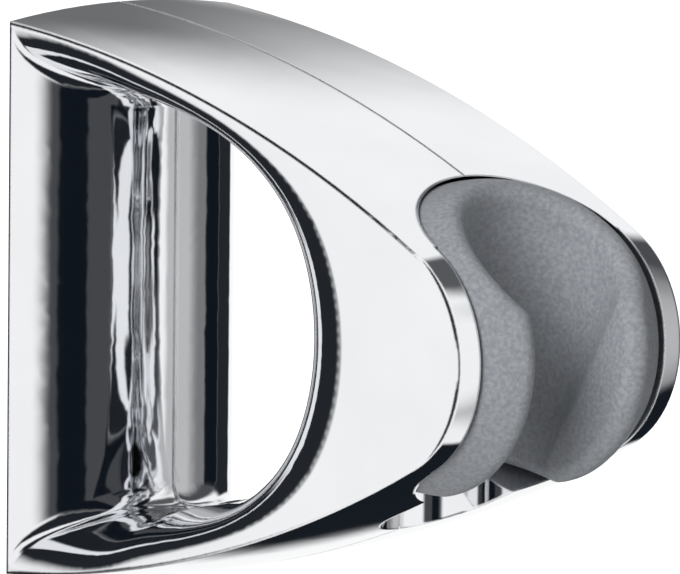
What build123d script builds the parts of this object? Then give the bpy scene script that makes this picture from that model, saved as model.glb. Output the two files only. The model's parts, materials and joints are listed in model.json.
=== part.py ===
from build123d import *
from math import cos, hypot, radians, sin, sqrt, tan
import os

os.makedirs("parts", exist_ok=True)

# Frame: X to the right seen from the front, Y into the wall, Z up.
# The origin is the centre of the back face, which lies on the wall.

# Body outline, seen from the side
projection = 95.2  # wall to the front of the ears
body_height = 80.0  # along the wall, at the side faces
body_width = 43.0
nose_radius = 17.2  # front of the ears
arm_radius = 225.0  # long arcs of the top and the underside
crown = 1.6  # how far the outer surface rises from its side edges to the seam
edge_radius = 0.7  # outer edges of the side faces
wall = 2.4  # shell wall
seam_width = 0.4  # groove where the two shells meet
seam_depth = 0.35

# D-shaped opening, at the side faces (rim) and at the seam (throat)
rim_land = 1.0  # edge left between the outer surface and the rim by the wall
rim_stations = [(67.2, 1.0), (43.7, 2.0), (29.0, 7.2)]  # back from the nose, depth of the arm
rim_nose = 23.5  # depth of the body at its nose
throat_stations = [(71.2, 8.2), (55.7, 8.5), (45.2, 15.4)]
throat_nose = 41.4
column_depth = 12.4  # front of the column at the seam
corner_depth = 10.0  # top of the throat by the column, below the side face's height
corner_radius = 3.0
rim_corner_radius = 0.5
end_slope = 0.02  # of the opening's arms where they leave the column

# Cradle for the handset, a barrel on the axis of the pivot
barrel_radius = 23.1
barrel_end_radius = 17.4
barrel_gap = 0.5  # between barrel and shells
ear_thickness = 3.9
end_gap = 0.8  # between a barrel end and an ear
barrel_back = 15.5  # back of the barrel in the middle, from the pivot
barrel_back_end = 12.5  # and at its ends
pocket_back = 19.5  # back of the pocket in the middle, from the pivot
pocket_back_end = 14.8  # and at the ears
barrel_edge = 0.5
seat_lean = 25.0  # seat axis from the vertical, leaning to the front
seat_offset = 4.9  # seat axis in front of the pivot
seat_mouth_radius = 11.9  # cone radius at the mouth
seat_mouth_height = 16.6  # mouth above the pivot, along the seat axis
seat_taper = 2.9  # half angle of the cone
slot_width = 17.6
lip_radius = 2.2  # round the mouth and along the slot
lip_wall_share = 0.46  # most that it may take of the wall beside the seat
notch_width = 17.0  # hose passage in the underside
notch_back = 17.5  # its back end, from the pivot

# Pivot and its friction stack
pin_radius = 2.5
pin_length = 8.0
pin_chamfer = 0.3125
pin_fit = 0.05  # radial running clearance
seat_fit = 0.02  # radial gap round a pressed piece
bush_radius = 4.0
bush_depth = 2.6  # into the ear
flange_radius = 5.6
flange_thickness = 0.5
recess_radius = 6.2
recess_depth = 1.2
washer_radius = 5.6
washer_thickness = 0.6
spring_thickness = 0.3
stop_radius = 9.6  # peg on the ear, from the pivot
stop_peg_radius = 1.2
stop_peg_length = 1.5
stop_depth = 1.0  # groove in the barrel end
stop_clearance = 0.3
stack_gap = 0.05  # between the pieces on the pin
pin_depth = 4.7  # in the barrel
tilt_back = 12.0
tilt_forward = 8.0

# Core in the column, wall plate and fasteners
core_half_width = 13.0
core_inset = 5.0  # ends of the core inside the side face's height
core_gap = 0.35
plate_width = 21.0
plate_height = 50.0
plate_thickness = 2.5
plate_gap = 0.3
plate_corner = 2.0
lug_width = 12.0
lug_reach = 7.2
lug_thickness = 2.4
wall_hole_spacing = 30.0
wall_hole_width = 4.8
wall_hole_length = 8.0
wall_head_radius = 5.2
wall_head_depth = 3.6
screw_inset = 2.5  # from the side of the plate
screw_z = 7.0
screw_radius = 1.25
screw_length = 6.4
screw_head_radius = 2.3
screw_head_sink = 0.1  # head below the floor of the plate recess
screw_clearance = 0.15
boss_radius = 2.9
boss_reach = 2.3  # boss on the shell, into the core
dowel_radius = 1.5
dowel_length = 14.0
dowel_boss_radius = 3.3
dowel_places = [26.0, 47.0]  # from the wall
dowel_depth = 3.3  # below the side edge of the arm
grub_radius = 2.0
grub_sink = 1.35  # its end inside the side face's height
grub_place = 5.2  # from the wall
grub_hole_radius = 2.4
grub_socket = 2.0  # hexagon across flats
insert_radius = 2.8
insert_length = 7.0

half_width = body_width / 2
half_height = body_height / 2
pivot_y = nose_radius - projection
ear_inside = half_width - ear_thickness
barrel_end = ear_inside - end_gap
hollow_reach = half_width - 2 * wall
core_height = body_height - 2 * core_inset
screw_x = plate_width / 2 - screw_inset
flare_angles = [0, 20, 40, 57, 72, 84, 90]


def arm_centre():
    """Centre of the upper long arc: it passes the wall corner and meets the nose arc."""
    corner = Vector(0, half_height)
    nose = Vector(pivot_y, 0)
    span = (nose - corner).length
    along = (arm_radius**2 - (arm_radius - nose_radius) ** 2 + span**2) / (2 * span)
    toward = (nose - corner).normalized()
    side = Vector(-toward.Y, toward.X)
    return corner + toward * along + side * sqrt(arm_radius**2 - along**2)


arc_centre = arm_centre()


def outer_height(y, rise=0.0):
    return arc_centre.Y + sqrt((arm_radius + rise) ** 2 - (y - arc_centre.X) ** 2)


def outline(rise, back=0.0):
    """Side outline of the body, moved out by rise, with its flat back at Y = back."""
    nose = Vector(pivot_y, 0)
    meet = nose + (nose - arc_centre).normalized() * (nose_radius + rise)
    top = Vector(back, outer_height(back, rise))
    middle_y = (top.X + meet.X) / 2
    middle = Vector(middle_y, outer_height(middle_y, rise))
    with BuildLine() as line:
        ThreePointArc(top, middle, meet)
        ThreePointArc(meet, (pivot_y - nose_radius - rise, 0), (meet.X, -meet.Y))
        ThreePointArc((meet.X, -meet.Y), (middle.X, -middle.Y), (top.X, -top.Y))
        Line((top.X, -top.Y), top)
    return line.line


def station_points(stations, nose_depth, grow):
    """Upper half of a D-shaped section, moved out by grow, from the wall end to the nose."""
    points = [(back - projection, outer_height(back - projection) - depth)
              for back, depth in stations]
    points.append((nose_depth - projection, 0.0))
    moved = []
    for i, (y, z) in enumerate(points[:-1]):
        before = points[max(i - 1, 0)]
        after = points[i + 1]
        run = hypot(after[0] - before[0], after[1] - before[1])
        moved.append((y + grow * (after[1] - before[1]) / run,
                      z - grow * (after[0] - before[0]) / run))
    moved.append((points[-1][0] - grow, 0.0))
    return moved


def opening(share, grow):
    """Section of the D-shaped opening, share 0 at the rim and 1 at the seam."""
    bulge = share**2  # the column is a parabola, the arms are an ellipse
    rim = station_points(rim_stations, rim_nose, 0)
    throat = station_points(throat_stations, throat_nose, grow)
    mixed = [(a[0] + (b[0] - a[0]) * share, a[1] + (b[1] - a[1]) * share)
             for a, b in zip(rim, throat)]
    column_y = -(rim_land + (column_depth - grow - rim_land) * bulge)
    rim_corner = half_height - rim_land
    corner_z = rim_corner + (half_height - corner_depth + grow - rim_corner) * share
    round_corner = rim_corner_radius + (corner_radius - rim_corner_radius) * share
    start = (column_y - round_corner, corner_z)
    upper = [start] + mixed
    lower = [(y, -z) for y, z in reversed(upper[:-1])]
    with BuildLine() as line:
        Line((column_y, -(corner_z - round_corner)), (column_y, corner_z - round_corner))
        RadiusArc((column_y, corner_z - round_corner), start, -round_corner)
        Spline(*upper, *lower, tangents=[(-1, end_slope), (1, end_slope)])
        RadiusArc((start[0], -corner_z), (column_y, -(corner_z - round_corner)), -round_corner)
    return line.line


def flared_opening(reach, grow):
    """Opening from the seam to the side face at X = -reach, widening like a quarter ellipse."""
    with BuildPart() as flare:
        for angle in flare_angles:
            with BuildSketch(Plane.YZ.offset(-reach * sin(radians(angle)))):
                with BuildLine():
                    add(opening(cos(radians(angle)), grow))
                make_face()
        loft()
    return flare.part


def crowned_form(reach, inset, back):
    """Half of the outer form, from the seam to X = -reach, moved in by inset."""
    with BuildPart() as form:
        for share in (0, 0.5, 1):
            rise = crown * (1 - (reach * share / half_width) ** 2) - inset
            with BuildSketch(Plane.YZ.offset(-reach * share)):
                with BuildLine():
                    add(outline(rise, back))
                make_face()
        loft()
    return form.part


def barrel_profile(x, extra):
    """Radius of the barrel at x along the pivot, moved out by extra."""
    drop = barrel_radius - barrel_end_radius
    arc = (barrel_end**2 + drop**2) / (2 * drop)
    return barrel_radius - arc + sqrt((arc + extra) ** 2 - x**2)


def barrel(extra, half_length, back, back_end):
    """Barrel about the pivot axis, its back a flat arc from back to back_end."""
    end = barrel_profile(half_length, extra)
    with BuildPart() as solid:
        with BuildSketch(Plane.XY):
            with BuildLine():
                Polyline((-half_length, pivot_y + end), (-half_length, pivot_y),
                         (half_length, pivot_y), (half_length, pivot_y + end))
                ThreePointArc((half_length, pivot_y + end),
                              (0, pivot_y + barrel_profile(0, extra)),
                              (-half_length, pivot_y + end))
            make_face()
        revolve(axis=Axis((0, pivot_y, 0), (1, 0, 0)))
        with BuildSketch(Plane.XY.offset(-barrel_radius - extra)):
            with BuildLine():
                ThreePointArc((-half_length, pivot_y + back_end), (0, pivot_y + back),
                              (half_length, pivot_y + back_end))
                Polyline((half_length, pivot_y + back_end),
                         (half_length, pivot_y - barrel_radius - extra),
                         (-half_length, pivot_y - barrel_radius - extra),
                         (-half_length, pivot_y + back_end))
            make_face()
        extrude(amount=2 * (barrel_radius + extra), mode=Mode.INTERSECT)
    return solid.part


def notch(margin):
    """Hose passage, cut up into the pocket from below."""
    half = notch_width / 2 + margin
    back_centre = pivot_y + notch_back - notch_width / 2
    with BuildPart() as passage:
        with BuildSketch(Plane.XY.offset(-half_height - crown - 1)):
            with Locations((0, back_centre)):
                Circle(half)
            with Locations((0, back_centre - half)):
                Rectangle(2 * half, 2 * half)
        extrude(amount=half_height + crown + 1 - barrel_end_radius / 2)
    return passage.part


def column_front(x, grow):
    """Y of the column's front at x, moved to the wall by grow."""
    share = 1 - (x / (half_width - grow)) ** 2
    return -(rim_land + (column_depth - grow - rim_land) * share)


def countersunk(extra, length):
    """Four countersunk screws through the core, grown by extra."""
    with BuildPart() as screws:
        with BuildSketch(Plane.XZ.offset(screw_head)):
            with Locations(*screw_spots):
                Circle(screw_head_radius + extra)
        extrude(amount=screw_head_radius - screw_radius, taper=45)
        with BuildSketch(Plane.XZ.offset(screw_head)):
            with Locations(*screw_spots):
                Circle(screw_radius + extra)
        extrude(amount=length)
    return screws.part


body = crowned_form(half_width, 0, 0)
opening_cut = flared_opening(half_width, 0)
pocket = barrel(barrel_gap, ear_inside, pocket_back, pocket_back_end)
pocket_wall = barrel(barrel_gap + wall, ear_inside + wall, pocket_back + wall,
                     pocket_back_end + wall)
arc_end = (Vector(pivot_y, 0) - arc_centre).normalized()

with BuildPart() as half_form:
    add(body)
    side_face = half_form.faces().sort_by(Axis.X)[0]
    fillet(side_face.edges().filter_by(Axis.Z, reverse=True), edge_radius)
    add(opening_cut, mode=Mode.SUBTRACT)

# The pocket opens to the front over the whole nose
with BuildPart() as nose_cut:
    with BuildSketch(Plane.YZ.offset(-ear_inside)):
        with Locations((pivot_y, 0)):
            Circle(nose_radius + crown)
        with Locations((pivot_y + nose_radius * arc_end.X, 0)):
            Rectangle(4 * nose_radius, 4 * nose_radius,
                      align=(Align.MIN, Align.CENTER), mode=Mode.SUBTRACT)
    extrude(amount=2 * ear_inside)

with BuildPart() as seam_groove:
    with BuildSketch(Plane.YZ):
        with BuildLine():
            add(outline(crown + seam_depth))
        make_face()
        with BuildLine():
            add(outline(crown - seam_depth))
        make_face(mode=Mode.SUBTRACT)
    extrude(amount=-seam_width / 2)
    with BuildSketch(Plane.YZ):
        with BuildLine():
            add(opening(1, seam_depth))
        make_face()
    extrude(amount=-seam_width / 2)

dowel_spots = [(-place, side * (outer_height(-place) - dowel_depth))
               for place in dowel_places for side in (1, -1)]
screw_spots = [(x, z) for x in (-screw_x, screw_x) for z in (-screw_z, screw_z)]
recess = plate_thickness + plate_gap
boss_end = -column_front(screw_x, wall) - boss_reach
screw_head = recess + screw_head_sink
screw_tip = screw_head + screw_length

# Space inside a half, open at the seam and at the back, with bosses left standing
with BuildPart() as hollow:
    add(crowned_form(hollow_reach, wall, 1))
    add(flared_opening(half_width - wall, wall), mode=Mode.SUBTRACT)
    add(pocket_wall, mode=Mode.SUBTRACT)
    add(notch(wall), mode=Mode.SUBTRACT)
    with BuildSketch(Plane.YZ):
        with Locations(*dowel_spots):
            Circle(dowel_boss_radius)
    extrude(amount=-half_width, mode=Mode.SUBTRACT)
    with BuildSketch(Plane.XZ.offset(boss_end)):
        with Locations((-screw_x, screw_z), (-screw_x, -screw_z)):
            Circle(boss_radius)
    extrude(amount=column_depth, mode=Mode.SUBTRACT)

with BuildPart() as left_shell:
    add(half_form.part)
    add(hollow.part, mode=Mode.SUBTRACT)
    add(pocket, mode=Mode.SUBTRACT)
    add(nose_cut.part, mode=Mode.SUBTRACT)
    add(notch(0), mode=Mode.SUBTRACT)
    add(seam_groove.part, mode=Mode.SUBTRACT)
    with BuildSketch(Plane.YZ):
        with Locations(*dowel_spots):
            Circle(dowel_radius + seat_fit)
    extrude(amount=-dowel_length / 2 - stop_clearance, mode=Mode.SUBTRACT)
    with BuildSketch(Plane.XZ.offset(boss_end)):
        with Locations((-screw_x, screw_z), (-screw_x, -screw_z)):
            Circle(screw_radius + seat_fit)
    extrude(amount=screw_tip + stop_clearance - boss_end, mode=Mode.SUBTRACT)
    with BuildSketch(Plane.XY.offset(-half_height - 2 * crown)):
        with Locations((0, -grub_place)):
            Circle(grub_hole_radius)
    extrude(amount=3 * wall, mode=Mode.SUBTRACT)
    with BuildSketch(Plane.YZ.offset(-ear_inside)):
        with Locations((pivot_y, 0)):
            Circle(bush_radius + seat_fit)
    extrude(amount=-bush_depth, mode=Mode.SUBTRACT)
    with BuildSketch(Plane.YZ.offset(-ear_inside + stop_peg_length)):
        with Locations((pivot_y + stop_radius, 0)):
            Circle(stop_peg_radius)
    extrude(amount=-stop_peg_length - edge_radius)
left_shell.part.label = "left_shell"
export_step(left_shell.part, "parts/left_shell.step")

with BuildPart() as right_shell:
    mirror(left_shell.part, about=Plane.YZ)
right_shell.part.label = "right_shell"
export_step(right_shell.part, "parts/right_shell.step")

lean_sin = sin(radians(seat_lean))
lean_cos = cos(radians(seat_lean))
seat_plane = Plane(origin=(0, pivot_y - seat_offset * lean_cos - seat_mouth_height * lean_sin,
                           seat_mouth_height * lean_cos - seat_offset * lean_sin),
                   x_dir=(1, 0, 0), z_dir=(0, -lean_sin, lean_cos))
seat_above = barrel_radius / 2  # the cut goes on above the mouth
seat_length = 3 * barrel_radius
recess_floor = barrel_end - recess_depth
groove_width = 2 * (stop_peg_radius + stop_clearance)

with BuildPart() as cradle:
    add(barrel(0, barrel_end, barrel_back, barrel_back_end))
    with BuildSketch(seat_plane.offset(seat_above)):
        Circle(seat_mouth_radius + seat_above * tan(radians(seat_taper)))
    extrude(amount=-seat_length, taper=seat_taper, mode=Mode.SUBTRACT)
    with BuildSketch(seat_plane.offset(seat_above)):
        Rectangle(slot_width, seat_length, align=(Align.CENTER, Align.MAX))
    extrude(amount=-seat_length, mode=Mode.SUBTRACT)
    # Rounded lip all along the seat and its slot, and softer barrel ends
    lip = [edge for edge in cradle.edges() if edge.geom_type != GeomType.LINE
           and abs(edge.center().X) < ear_inside / 2 + slot_width / 4
           and edge.center().Y < pivot_y + barrel_back - barrel_edge]
    fillet(lip, min(lip_radius, lip_wall_share * (barrel_end - seat_mouth_radius)))
    ends = [edge for edge in cradle.edges() if abs(edge.center().X) > barrel_end - stack_gap]
    fillet(ends, barrel_edge)
    for side in (-1, 1):
        with BuildSketch(Plane.YZ.offset(side * (barrel_end - recess_depth))):
            with Locations((pivot_y, 0)):
                Circle(recess_radius)
        extrude(amount=side * 2 * recess_depth, mode=Mode.SUBTRACT)
        with BuildSketch(Plane.YZ.offset(side * (barrel_end - pin_depth))):
            with Locations((pivot_y, 0)):
                Circle(pin_radius + seat_fit)
        extrude(amount=side * 2 * pin_depth, mode=Mode.SUBTRACT)
        with BuildSketch(Plane.YZ.offset(side * (barrel_end - stop_depth))):
            with BuildLine() as path:
                CenterArc((pivot_y, 0), stop_radius, -tilt_forward, tilt_back + tilt_forward)
            SlotArc(path.wire(), groove_width)
        extrude(amount=side * 2 * stop_depth, mode=Mode.SUBTRACT)
cradle.part.label = "cradle"
export_step(cradle.part, "parts/cradle.step")

# Core in the column: it carries the shells and slides over the wall plate
core_front = column_front(0, wall) + core_gap
core_side = column_front(core_half_width, wall) + core_gap
lug_spots = [(0, side * (plate_height - lug_thickness) / 2) for side in (1, -1)]
hole_spots = [(0, side * wall_hole_spacing / 2) for side in (1, -1)]

with BuildPart() as mounting_core:
    with BuildSketch(Plane.XY.offset(-core_height / 2)):
        with BuildLine():
            ThreePointArc((-core_half_width, core_side), (0, core_front),
                          (core_half_width, core_side))
            Polyline((core_half_width, core_side), (core_half_width, 0),
                     (-core_half_width, 0), (-core_half_width, core_side))
        make_face()
    extrude(amount=core_height)
    with BuildSketch(Plane.XZ):
        Rectangle(plate_width + 2 * plate_gap, plate_height + 2 * plate_gap)
    extrude(amount=recess, mode=Mode.SUBTRACT)
    with BuildSketch(Plane.XZ.offset(recess)):
        with Locations(*hole_spots):
            SlotOverall(wall_hole_length - wall_hole_width + 2 * wall_head_radius,
                        2 * wall_head_radius, rotation=90)
    extrude(amount=wall_head_depth, mode=Mode.SUBTRACT)
    with BuildSketch(Plane.XZ):
        with Locations(*lug_spots):
            Rectangle(lug_width + 2 * plate_gap, lug_thickness + 2 * plate_gap)
    extrude(amount=lug_reach + plate_gap, mode=Mode.SUBTRACT)
    with BuildSketch(Plane.XZ.offset(boss_end - core_gap)):
        with Locations(*screw_spots):
            Circle(boss_radius + core_gap)
    extrude(amount=column_depth, mode=Mode.SUBTRACT)
    with BuildSketch(Plane.XZ.offset(recess)):
        with Locations(*screw_spots):
            Circle(screw_head_radius + screw_clearance)
    extrude(amount=screw_head_sink, mode=Mode.SUBTRACT)
    add(countersunk(screw_clearance, column_depth), mode=Mode.SUBTRACT)
    with BuildSketch(Plane.XY.offset(-core_height / 2)):
        with Locations((0, -grub_place)):
            Circle(insert_radius + seat_fit)
    extrude(amount=insert_length, mode=Mode.SUBTRACT)
    with BuildSketch(Plane.XY.offset(-core_height / 2)):
        with Locations((0, -grub_place)):
            Circle(grub_hole_radius)
    extrude(amount=core_height / 2 - plate_height / 2, mode=Mode.SUBTRACT)
mounting_core.part.label = "mounting_core"
export_step(mounting_core.part, "parts/mounting_core.step")

with BuildPart() as wall_plate:
    with BuildSketch(Plane.XZ):
        RectangleRounded(plate_width, plate_height, plate_corner)
        with Locations(*hole_spots):
            SlotOverall(wall_hole_length, wall_hole_width, rotation=90, mode=Mode.SUBTRACT)
    extrude(amount=plate_thickness)
    with BuildSketch(Plane.XZ):
        with Locations(*lug_spots):
            Rectangle(lug_width, lug_thickness)
    extrude(amount=lug_reach)
wall_plate.part.label = "wall_plate"
export_step(wall_plate.part, "parts/wall_plate.step")

with BuildPart() as core_screws:
    add(countersunk(0, screw_length))
core_screws.part.label = "core_screws"
export_step(core_screws.part, "parts/core_screws.step")

with BuildPart() as shell_dowels:
    with BuildSketch(Plane.YZ.offset(-dowel_length / 2)):
        with Locations(*dowel_spots):
            Circle(dowel_radius)
    extrude(amount=dowel_length)
shell_dowels.part.label = "shell_dowels"
export_step(shell_dowels.part, "parts/shell_dowels.step")

with BuildPart() as threaded_insert:
    with BuildSketch(Plane.XY.offset(-core_height / 2)):
        with Locations((0, -grub_place)):
            Circle(insert_radius)
            Circle(grub_radius + seat_fit, mode=Mode.SUBTRACT)
    extrude(amount=insert_length)
threaded_insert.part.label = "threaded_insert"
export_step(threaded_insert.part, "parts/threaded_insert.step")

with BuildPart() as grub_screw:
    grub_top = -plate_height / 2 - stack_gap
    grub_length = half_height - grub_sink + grub_top
    with BuildSketch(Plane.XY.offset(grub_top)):
        with Locations((0, -grub_place)):
            Circle(grub_radius)
    extrude(amount=-grub_length)
    with BuildSketch(Plane.XY.offset(grub_top - grub_length)):
        with Locations((0, -grub_place)):
            RegularPolygon(grub_socket / 2, 6, major_radius=False)
    extrude(amount=grub_socket, mode=Mode.SUBTRACT)
grub_screw.part.label = "grub_screw"
export_step(grub_screw.part, "parts/grub_screw.step")

# Pivot stack in the left ear, from the ear towards the barrel
pin_start = ear_inside + bush_depth - stack_gap * 2
washer_start = ear_inside - flange_thickness - stack_gap
spring_start = washer_start - washer_thickness - stack_gap
spring_end = recess_floor + stack_gap

with BuildPart() as left_pivot_pin:
    with BuildSketch(Plane.YZ.offset(-pin_start)):
        with Locations((pivot_y, 0)):
            Circle(pin_radius)
    extrude(amount=pin_length)
    chamfer(left_pivot_pin.edges(), pin_chamfer)

with BuildPart() as left_bush:
    with BuildSketch(Plane.YZ.offset(-ear_inside)):
        with Locations((pivot_y, 0)):
            Circle(flange_radius)
    extrude(amount=flange_thickness)
    with BuildSketch(Plane.YZ.offset(-ear_inside)):
        with Locations((pivot_y, 0)):
            Circle(bush_radius)
    extrude(amount=-bush_depth + stack_gap)
    with BuildSketch(Plane.YZ.offset(-ear_inside - bush_depth)):
        with Locations((pivot_y, 0)):
            Circle(pin_radius + pin_fit)
    extrude(amount=bush_depth + flange_thickness, mode=Mode.SUBTRACT)

with BuildPart() as left_friction_washer:
    with BuildSketch(Plane.YZ.offset(-washer_start)):
        with Locations((pivot_y, 0)):
            Circle(washer_radius)
            Circle(pin_radius + 2 * pin_fit, mode=Mode.SUBTRACT)
    extrude(amount=washer_thickness)

with BuildPart() as left_spring_washer:
    reach = washer_radius - spring_thickness
    with BuildSketch(Plane.XY.offset(-washer_radius)):
        with BuildLine():
            ThreePointArc((-spring_end - spring_thickness, pivot_y - reach),
                          (-spring_start, pivot_y),
                          (-spring_end - spring_thickness, pivot_y + reach))
            Line((-spring_end - spring_thickness, pivot_y + reach), (-spring_end, pivot_y + reach))
            ThreePointArc((-spring_end, pivot_y + reach),
                          (-spring_start + spring_thickness, pivot_y),
                          (-spring_end, pivot_y - reach))
            Line((-spring_end, pivot_y - reach), (-spring_end - spring_thickness, pivot_y - reach))
        make_face()
    extrude(amount=2 * washer_radius)
    with BuildSketch(Plane.YZ.offset(-barrel_end)):
        with Locations((pivot_y, 0)):
            Circle(reach)
            Circle(pin_radius + 4 * pin_fit, mode=Mode.SUBTRACT)
    extrude(amount=2 * recess_depth, mode=Mode.INTERSECT)

for name, piece in (("pivot_pin", left_pivot_pin), ("bush", left_bush),
                    ("friction_washer", left_friction_washer),
                    ("spring_washer", left_spring_washer)):
    piece.part.label = "left_" + name
    export_step(piece.part, "parts/left_" + name + ".step")
    with BuildPart() as opposite:
        mirror(piece.part, about=Plane.YZ)
    opposite.part.label = "right_" + name
    export_step(opposite.part, "parts/right_" + name + ".step")
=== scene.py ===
import json
from math import cos, radians, sin

import bpy
from mathutils import Matrix, Vector

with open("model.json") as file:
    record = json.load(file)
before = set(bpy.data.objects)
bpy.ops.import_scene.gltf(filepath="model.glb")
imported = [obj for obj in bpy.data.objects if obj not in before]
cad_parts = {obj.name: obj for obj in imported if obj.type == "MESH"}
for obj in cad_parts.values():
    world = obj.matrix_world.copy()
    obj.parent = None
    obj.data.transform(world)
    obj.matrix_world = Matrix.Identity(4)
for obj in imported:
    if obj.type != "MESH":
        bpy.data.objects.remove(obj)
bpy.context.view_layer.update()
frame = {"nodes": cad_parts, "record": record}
print("frame loaded:", len(frame["nodes"]), "nodes")


def newTree(material):
    material.use_nodes = True
    tree = material.node_tree
    tree.nodes.clear()
    output = tree.nodes.new("ShaderNodeOutputMaterial")
    output.location = (600, 0)
    shader = tree.nodes.new("ShaderNodeBsdfPrincipled")
    shader.location = (300, 0)
    tree.links.new(shader.outputs["BSDF"], output.inputs["Surface"])
    return tree, shader


def addNode(tree, kind, place, values=None):
    node = tree.nodes.new(kind)
    node.location = place
    for key, value in (values or {}).items():
        node.inputs[key].default_value = value
    return node


def mathNode(tree, operation, place, first, second=None, third=None):
    node = tree.nodes.new("ShaderNodeMath")
    node.operation = operation
    node.location = place
    for socket, value in zip(node.inputs, (first, second, third)):
        if isinstance(value, bpy.types.NodeSocket):
            tree.links.new(value, socket)
        elif value is not None:
            socket.default_value = value
    return node.outputs[0]


# Shared effect: fine grain of moulded plastic, as a height and a small change of shade
grainShape = {"scale": 2600.0, "mottle": 90.0, "fineDetail": 3.0, "fineRoughness": 0.6,
              "mottleDetail": 2.0}
grainGroup = bpy.data.node_groups.new("mouldedGrain", "ShaderNodeTree")
for name, default in (("Scale", grainShape["scale"]), ("Mottle", grainShape["mottle"])):
    socket = grainGroup.interface.new_socket(name, in_out="INPUT", socket_type="NodeSocketFloat")
    socket.default_value = default
grainGroup.interface.new_socket("Height", in_out="OUTPUT", socket_type="NodeSocketFloat")
grainGroup.interface.new_socket("Shade", in_out="OUTPUT", socket_type="NodeSocketFloat")
groupIn = addNode(grainGroup, "NodeGroupInput", (-600, 0))
groupOut = addNode(grainGroup, "NodeGroupOutput", (400, 0))
coords = addNode(grainGroup, "ShaderNodeTexCoord", (-600, 200))
fine = addNode(grainGroup, "ShaderNodeTexNoise", (-300, 200),
               {"Detail": grainShape["fineDetail"], "Roughness": grainShape["fineRoughness"]})
mottle = addNode(grainGroup, "ShaderNodeTexNoise", (-300, -100),
                 {"Detail": grainShape["mottleDetail"]})
grainGroup.links.new(coords.outputs["Object"], fine.inputs["Vector"])
grainGroup.links.new(coords.outputs["Object"], mottle.inputs["Vector"])
grainGroup.links.new(groupIn.outputs["Scale"], fine.inputs["Scale"])
grainGroup.links.new(groupIn.outputs["Mottle"], mottle.inputs["Scale"])
grainGroup.links.new(fine.outputs["Fac"], groupOut.inputs["Height"])
grainGroup.links.new(mottle.outputs["Fac"], groupOut.inputs["Shade"])


# Shared effect: edges softened in the shading, with a mask that is 1 on an edge; the plastics use
# the mask for a painted highlight along edges.
# The mask grows as the softened normal turns from the flat likeness to the one of a full painted
# highlight.
edgeShape = {"radius": 0.0004, "samples": 6, "flat": 0.995, "paintedHighlight": 0.90}

edgeGroup = bpy.data.node_groups.new("softEdge", "ShaderNodeTree")
socket = edgeGroup.interface.new_socket("Radius", in_out="INPUT", socket_type="NodeSocketFloat")
socket.default_value = edgeShape["radius"]
edgeGroup.interface.new_socket("Normal", in_out="OUTPUT", socket_type="NodeSocketVector")
edgeGroup.interface.new_socket("Edge", in_out="OUTPUT", socket_type="NodeSocketFloat")
edgeIn = addNode(edgeGroup, "NodeGroupInput", (-700, 0))
edgeOut = addNode(edgeGroup, "NodeGroupOutput", (500, 0))
rounded = addNode(edgeGroup, "ShaderNodeBevel", (-450, 0))
rounded.samples = edgeShape["samples"]
surface = addNode(edgeGroup, "ShaderNodeNewGeometry", (-450, -200))
likeness = addNode(edgeGroup, "ShaderNodeVectorMath", (-200, -100))
likeness.operation = "DOT_PRODUCT"
edgeMask = addNode(edgeGroup, "ShaderNodeMapRange", (50, -100),
                   {"From Min": edgeShape["flat"], "From Max": edgeShape["paintedHighlight"]})
edgeGroup.links.new(edgeIn.outputs["Radius"], rounded.inputs["Radius"])
edgeGroup.links.new(rounded.outputs["Normal"], likeness.inputs[0])
edgeGroup.links.new(surface.outputs["Normal"], likeness.inputs[1])
edgeGroup.links.new(likeness.outputs["Value"], edgeMask.inputs["Value"])
edgeGroup.links.new(rounded.outputs["Normal"], edgeOut.inputs["Normal"])
edgeGroup.links.new(edgeMask.outputs["Result"], edgeOut.inputs["Edge"])


shadeSpread = (0.3, 0.7)  # of the noise, from the dark to the light shade


def shadeRamp(tree, factor, low, high, place):
    ramp = addNode(tree, "ShaderNodeValToRGB", place)
    ramp.color_ramp.elements[0].position = shadeSpread[0]
    ramp.color_ramp.elements[0].color = (*low, 1.0)
    ramp.color_ramp.elements[1].position = shadeSpread[1]
    ramp.color_ramp.elements[1].color = (*high, 1.0)
    tree.links.new(factor, ramp.inputs["Fac"])
    return ramp


def plasticMaterial(name, look):
    material = bpy.data.materials.new(name)
    tree, shader = newTree(material)
    grain = addNode(tree, "ShaderNodeGroup", (-400, 0))
    grain.node_tree = grainGroup
    grain.inputs["Scale"].default_value = look["grainScale"]
    grain.inputs["Mottle"].default_value = look["mottleScale"]
    ramp = shadeRamp(tree, grain.outputs["Shade"], look["dark"], look["light"], (-150, 150))
    edges = addNode(tree, "ShaderNodeGroup", (-400, -300))
    edges.node_tree = edgeGroup
    edges.inputs["Radius"].default_value = look["edgeRadius"]
    # Painted highlight: the lighter edge colour is mixed into the base colour where the edge mask is
    # 1
    paintedHighlight = addNode(tree, "ShaderNodeMix", (100, 150))
    paintedHighlight.data_type = "RGBA"
    paintedHighlight.inputs["B"].default_value = (*look["edge"], 1.0)
    tree.links.new(edges.outputs["Edge"], paintedHighlight.inputs["Factor"])
    tree.links.new(ramp.outputs["Color"], paintedHighlight.inputs["A"])
    tree.links.new(paintedHighlight.outputs["Result"], shader.inputs["Base Color"])
    bump = addNode(tree, "ShaderNodeBump", (50, -250),
                   {"Strength": look["bump"], "Distance": look["bumpHeight"]})
    tree.links.new(edges.outputs["Normal"], bump.inputs["Normal"])
    tree.links.new(grain.outputs["Height"], bump.inputs["Height"])
    tree.links.new(bump.outputs["Normal"], shader.inputs["Normal"])
    shader.inputs["Roughness"].default_value = look["roughness"]
    shader.inputs["Specular IOR Level"].default_value = look["gloss"]
    return material


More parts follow.
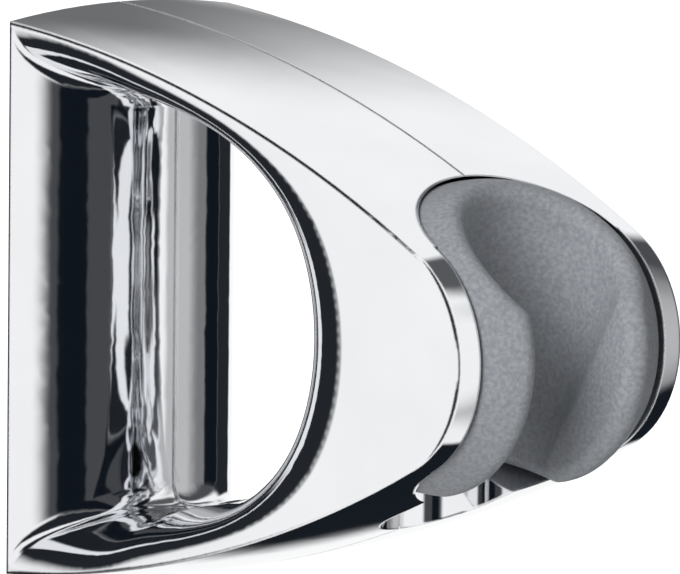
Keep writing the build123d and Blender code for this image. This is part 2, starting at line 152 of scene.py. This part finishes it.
def metalMaterial(name, look):
    material = bpy.data.materials.new(name)
    tree, shader = newTree(material)
    coords = addNode(tree, "ShaderNodeTexCoord", (-900, 0))
    cloud = addNode(tree, "ShaderNodeTexNoise", (-650, 0),
                    {"Scale": look["cloudScale"], "Detail": look["cloudDetail"]})
    tree.links.new(coords.outputs["Object"], cloud.inputs["Vector"])
    ramp = shadeRamp(tree, cloud.outputs["Fac"], look["dark"], look["light"], (-300, 150))
    tree.links.new(ramp.outputs["Color"], shader.inputs["Base Color"])
    rough = addNode(tree, "ShaderNodeMapRange", (-300, -120),
                    {"To Min": look["roughLow"], "To Max": look["roughHigh"]})
    tree.links.new(cloud.outputs["Fac"], rough.inputs["Value"])
    tree.links.new(rough.outputs["Result"], shader.inputs["Roughness"])
    shader.inputs["Metallic"].default_value = 1.0
    edges = addNode(tree, "ShaderNodeGroup", (0, -300))
    edges.node_tree = edgeGroup
    edges.inputs["Radius"].default_value = look["edgeRadius"]
    tree.links.new(edges.outputs["Normal"], shader.inputs["Normal"])
    return material


chromeLook = {"cloudScale": 60.0, "cloudDetail": 3.0,
              "dark": (0.84, 0.85, 0.87), "light": (0.88, 0.89, 0.91),
              "roughLow": 0.03, "roughHigh": 0.06, "edgeRadius": 0.0005}
# edge: the colour of the painted highlight along edges, lighter than the plastic itself
cradleLook = {"grainScale": 2600.0, "mottleScale": 1600.0,
              "dark": (0.26, 0.275, 0.30), "light": (0.365, 0.38, 0.405),
              "roughness": 0.46, "gloss": 0.25, "bump": 0.25, "bumpHeight": 0.0002,
              "edgeRadius": 0.00035, "edge": (0.62, 0.64, 0.67)}
coreLook = {"grainScale": 1800.0, "mottleScale": 80.0,
            "dark": (0.035, 0.035, 0.038), "light": (0.05, 0.05, 0.053),
            "roughness": 0.5, "gloss": 0.5, "bump": 0.3, "bumpHeight": 0.0002,
            "edgeRadius": 0.0003, "edge": (0.08, 0.08, 0.085)}
bearingLook = {"grainScale": 2000.0, "mottleScale": 150.0,
               "dark": (0.70, 0.70, 0.66), "light": (0.76, 0.76, 0.72),
               "roughness": 0.38, "gloss": 0.5, "bump": 0.15, "bumpHeight": 0.0001,
               "edgeRadius": 0.0001, "edge": (0.8, 0.8, 0.76)}
steelLook = {"cloudScale": 400.0, "cloudDetail": 3.0,
             "dark": (0.50, 0.51, 0.52), "light": (0.60, 0.61, 0.62),
             "roughLow": 0.22, "roughHigh": 0.34, "edgeRadius": 0.0001}
brassLook = {"cloudScale": 400.0, "cloudDetail": 3.0,
             "dark": (0.62, 0.46, 0.20), "light": (0.72, 0.55, 0.27),
             "roughLow": 0.22, "roughHigh": 0.32, "edgeRadius": 0.0001}

finishes = {
    "chrome": metalMaterial("polishedChrome", chromeLook),
    "cradle_plastic": plasticMaterial("greyCradlePlastic", cradleLook),
    "core_plastic": plasticMaterial("blackCorePlastic", coreLook),
    "bearing_plastic": plasticMaterial("whiteBearingPlastic", bearingLook),
    "steel": metalMaterial("plainSteel", steelLook),
    "brass": metalMaterial("turnedBrass", brassLook),
}
for entry in frame["record"]["subparts"]:
    node = frame["nodes"][entry["node"]]
    node.data.materials.clear()
    node.data.materials.append(finishes[entry["material_slot"]])
print("materials set")

# Floor and world: white for the camera and for reflections, a plain level of light otherwise
stageLook = {"floorHeight": -0.14, "floorSize": 6.0, "floorColour": (0.9, 0.9, 0.9),
             "floorRoughness": 0.9, "floorLift": 0.95, "worldLight": 0.2}

bpy.ops.object.select_all(action="DESELECT")
bpy.ops.mesh.primitive_plane_add(size=stageLook["floorSize"],
                                 location=(0, 0, stageLook["floorHeight"]))
floor = bpy.context.object
floor.name = "floor"
bpy.ops.object.transform_apply(location=True, rotation=True, scale=True)
floorPaint = bpy.data.materials.new("paleFloor")
tree, shader = newTree(floorPaint)
shader.inputs["Base Color"].default_value = (*stageLook["floorColour"], 1.0)
shader.inputs["Roughness"].default_value = stageLook["floorRoughness"]
sight = addNode(tree, "ShaderNodeLightPath", (-400, -200))
direct = mathNode(tree, "MAXIMUM", (-280, -200), sight.outputs["Is Camera Ray"],
                  sight.outputs["Is Transmission Ray"])
lift = addNode(tree, "ShaderNodeMapRange", (-100, -200), {"To Max": stageLook["floorLift"]})
tree.links.new(direct, lift.inputs["Value"])
tree.links.new(lift.outputs["Result"], shader.inputs["Emission Strength"])
shader.inputs["Emission Color"].default_value = (1.0, 1.0, 1.0, 1.0)
floor.data.materials.append(floorPaint)
floor.visible_glossy = False  # the tent below stands in for it in reflections

# Light tent with dark flags, seen only in reflections: chrome is photographed in one.
# Azimuth 0 is the front, positive to the right; each flag has its middle and half widths
# in degrees, a soft edge and a shade.
tentLook = {
    "radius": 2.5, "segments": 64, "rings": 32,
    "white": (1.0, 1.0, 1.0), "dark": (0.006, 0.009, 0.014),
    "flags": {
        "backLeft": {"azimuth": (-176, 34), "elevation": (-6, 50), "soft": (12, 20), "shade": 0.012},
        "backUpper": {"azimuth": (-146, 34), "elevation": (56, 26), "soft": (12, 10), "shade": 0.01},
        "leftGrey": {"azimuth": (-26, 17), "elevation": (0, 75), "soft": (7, 10), "shade": 0.06},
        "frontLeft": {"azimuth": (-31, 6.5), "elevation": (0, 75), "soft": (1.5, 10), "shade": 0.0},
        "leftUpper": {"azimuth": (-62, 20), "elevation": (42, 36), "soft": (6, 8), "shade": 0.01},
        "leftLower": {"azimuth": (-62, 20), "elevation": (-52, 36), "soft": (6, 8), "shade": 0.01},
        "rightPale": {"azimuth": (60, 27), "elevation": (-5, 40), "soft": (10, 16), "shade": 0.54},
        "rightGrey": {"azimuth": (78, 14), "elevation": (-5, 40), "soft": (20, 16), "shade": 0.2},
        "rightUpper": {"azimuth": (68, 26), "elevation": (55, 14), "soft": (14, 12), "shade": 0.10},
        "right": {"azimuth": (90, 9), "elevation": (-12, 20), "soft": (3, 12), "shade": 0.0},
        "rightBack": {"azimuth": (109, 11), "elevation": (-12, 20), "soft": (3, 12), "shade": 0.012},
        "rightHigh": {"azimuth": (90, 16), "elevation": (24, 22), "soft": (14, 14), "shade": 0.07},
        "rightLower": {"azimuth": (106, 36), "elevation": (-50, 24), "soft": (8, 8), "shade": 0.003},
        "topGrey": {"azimuth": (150, 19), "elevation": (17, 15), "soft": (14, 18), "shade": 0.16},
    },
}

flagGroup = bpy.data.node_groups.new("studioFlag", "ShaderNodeTree")
for name in ("Azimuth", "Elevation", "Middle", "Half", "Height", "HalfHeight", "Soft", "SoftHeight"):
    flagGroup.interface.new_socket(name, in_out="INPUT", socket_type="NodeSocketFloat")
flagGroup.interface.new_socket("Mask", in_out="OUTPUT", socket_type="NodeSocketFloat")
flagIn = addNode(flagGroup, "NodeGroupInput", (-900, 0))
flagOut = addNode(flagGroup, "NodeGroupOutput", (700, 0))


def softBand(tree, angle, middle, half, soft, place):
    away = mathNode(tree, "SUBTRACT", place, angle, middle)
    turned = mathNode(tree, "WRAP", (place[0] + 180, place[1]), away, 180.0, -180.0)
    size = mathNode(tree, "ABSOLUTE", (place[0] + 360, place[1]), turned)
    inside = mathNode(tree, "SUBTRACT", (place[0] + 540, place[1]), half, size)
    share = mathNode(tree, "DIVIDE", (place[0] + 720, place[1]), inside, soft)
    edge = tree.nodes.new("ShaderNodeMapRange")
    edge.location = (place[0] + 900, place[1])
    edge.interpolation_type = "SMOOTHSTEP"
    edge.inputs["From Min"].default_value = -0.5
    edge.inputs["From Max"].default_value = 0.5
    tree.links.new(share, edge.inputs["Value"])
    return edge.outputs["Result"]


across = softBand(flagGroup, flagIn.outputs["Azimuth"], flagIn.outputs["Middle"],
                  flagIn.outputs["Half"], flagIn.outputs["Soft"], (-700, 200))
upwards = softBand(flagGroup, flagIn.outputs["Elevation"], flagIn.outputs["Height"],
                   flagIn.outputs["HalfHeight"], flagIn.outputs["SoftHeight"], (-700, -200))
flagGroup.links.new(mathNode(flagGroup, "MULTIPLY", (450, 0), across, upwards),
                    flagOut.inputs["Mask"])

bpy.ops.object.select_all(action="DESELECT")
bpy.ops.mesh.primitive_uv_sphere_add(segments=tentLook["segments"], ring_count=tentLook["rings"],
                                     radius=tentLook["radius"])
tent = bpy.context.object
tent.name = "lightTent"
tent.visible_camera = False
tent.visible_diffuse = False
tent.visible_shadow = False
tentCloth = bpy.data.materials.new("tentCloth")
tentCloth.use_nodes = True
tree = tentCloth.node_tree
tree.nodes.clear()
tentOut = addNode(tree, "ShaderNodeOutputMaterial", (900, 0))
glow = addNode(tree, "ShaderNodeEmission", (700, 0), {"Strength": 1.0})
coords = addNode(tree, "ShaderNodeTexCoord", (-1400, 0))
split = addNode(tree, "ShaderNodeSeparateXYZ", (-1200, 0))
tree.links.new(coords.outputs["Object"], split.inputs["Vector"])
forward = mathNode(tree, "MULTIPLY", (-1000, 100), split.outputs["Y"], -1.0)
turn = mathNode(tree, "ARCTAN2", (-800, 100), split.outputs["X"], forward)
turnDegrees = mathNode(tree, "DEGREES", (-600, 100), turn)
heightShare = mathNode(tree, "DIVIDE", (-1000, -100), split.outputs["Z"], tentLook["radius"])
rise = mathNode(tree, "ARCSINE", (-800, -100), heightShare)
riseDegrees = mathNode(tree, "DEGREES", (-600, -100), rise)
brightness = 1.0  # of the bare cloth; each flag then takes it to its own shade
for i, (name, flag) in enumerate(tentLook["flags"].items()):
    mask = addNode(tree, "ShaderNodeGroup", (-350, 300 - 160 * i))
    mask.node_tree = flagGroup
    mask.label = name
    mask.inputs["Middle"].default_value, mask.inputs["Half"].default_value = flag["azimuth"]
    mask.inputs["Height"].default_value, mask.inputs["HalfHeight"].default_value = flag["elevation"]
    mask.inputs["Soft"].default_value, mask.inputs["SoftHeight"].default_value = flag["soft"]
    tree.links.new(turnDegrees, mask.inputs["Azimuth"])
    tree.links.new(riseDegrees, mask.inputs["Elevation"])
    step = addNode(tree, "ShaderNodeMapRange", (-100, 300 - 160 * i), {"To Max": flag["shade"]})
    tree.links.new(mask.outputs["Mask"], step.inputs["Value"])
    if isinstance(brightness, bpy.types.NodeSocket):
        tree.links.new(brightness, step.inputs["To Min"])
    else:
        step.inputs["To Min"].default_value = brightness
    brightness = step.outputs["Result"]
tint = addNode(tree, "ShaderNodeMix", (450, 0))
tint.data_type = "RGBA"
tint.inputs["A"].default_value = (*tentLook["dark"], 1.0)
tint.inputs["B"].default_value = (*tentLook["white"], 1.0)
tree.links.new(brightness, tint.inputs["Factor"])
tree.links.new(tint.outputs["Result"], glow.inputs["Color"])
tree.links.new(glow.outputs["Emission"], tentOut.inputs["Surface"])
tent.data.materials.append(tentCloth)

world = bpy.data.worlds.new("studio")
bpy.context.scene.world = world
world.use_nodes = True
tree = world.node_tree
tree.nodes.clear()
worldOut = addNode(tree, "ShaderNodeOutputWorld", (600, 0))
background = addNode(tree, "ShaderNodeBackground", (350, 0), {"Color": (1.0, 1.0, 1.0, 1.0)})
path = addNode(tree, "ShaderNodeLightPath", (-400, 0))
seen = mathNode(tree, "MAXIMUM", (-200, 0), path.outputs["Is Camera Ray"],
                path.outputs["Is Glossy Ray"])
seenAll = mathNode(tree, "MAXIMUM", (-25, -100), seen, path.outputs["Is Transmission Ray"])
strength = addNode(tree, "ShaderNodeMapRange", (150, 0),
                   {"To Min": stageLook["worldLight"], "To Max": 1.0})
tree.links.new(seenAll, strength.inputs["Value"])
tree.links.new(strength.outputs["Result"], background.inputs["Strength"])
tree.links.new(background.outputs["Background"], worldOut.inputs["Surface"])

# Camera at the photograph's angle, almost without perspective
cameraLook = {"azimuth": 42.49, "elevation": 7.42, "roll": 0.57, "distance": 1.7051,
              "aim": (0.0, -0.04536, 0.0), "right": 0.00151, "up": 0.0046, "lens": 635.3,
              "sensor": 36.0, "clipEnd": 20.0}

azimuth = radians(cameraLook["azimuth"])
elevation = radians(cameraLook["elevation"])
roll = radians(cameraLook["roll"])
back = Vector((-sin(azimuth) * cos(elevation), -cos(azimuth) * cos(elevation), sin(elevation)))
sideways = Vector((cos(azimuth), -sin(azimuth), 0.0))
upright = back.cross(sideways)
right = sideways * cos(roll) + upright * sin(roll)
up = upright * cos(roll) - sideways * sin(roll)
eye = (Vector(cameraLook["aim"]) + back * cameraLook["distance"]
       + right * cameraLook["right"] + up * cameraLook["up"])
bpy.ops.object.camera_add(location=eye)
camera = bpy.context.object
camera.name = "photoCamera"
camera.matrix_world = Matrix.Translation(eye) @ Matrix((right, up, back)).transposed().to_4x4()
camera.data.lens = cameraLook["lens"]
camera.data.sensor_width = cameraLook["sensor"]
camera.data.clip_end = cameraLook["clipEnd"]
bpy.context.scene.camera = camera

# Soft studio lamps, all turned to the middle of the part
lampAim = (0.0, -0.045, 0.0)
lamps = {
    "keyLamp": {"place": (-1.55, -0.6, 0.8), "size": 0.9, "power": 28.0},
    "fillLamp": {"place": (0.5, -1.5, 0.6), "size": 0.9, "power": 1.0},
}
for name, look in lamps.items():
    bpy.ops.object.light_add(type="AREA", location=look["place"])
    lamp = bpy.context.object
    lamp.name = name
    lamp.data.size = look["size"]
    lamp.data.energy = look["power"]
    lamp.visible_glossy = False
    beam = Vector(lampAim) - Vector(look["place"])
    lamp.rotation_euler = beam.to_track_quat("-Z", "Y").to_euler()
print("stage, camera and lamps set")

bpy.context.scene.view_settings.view_transform = "Standard"
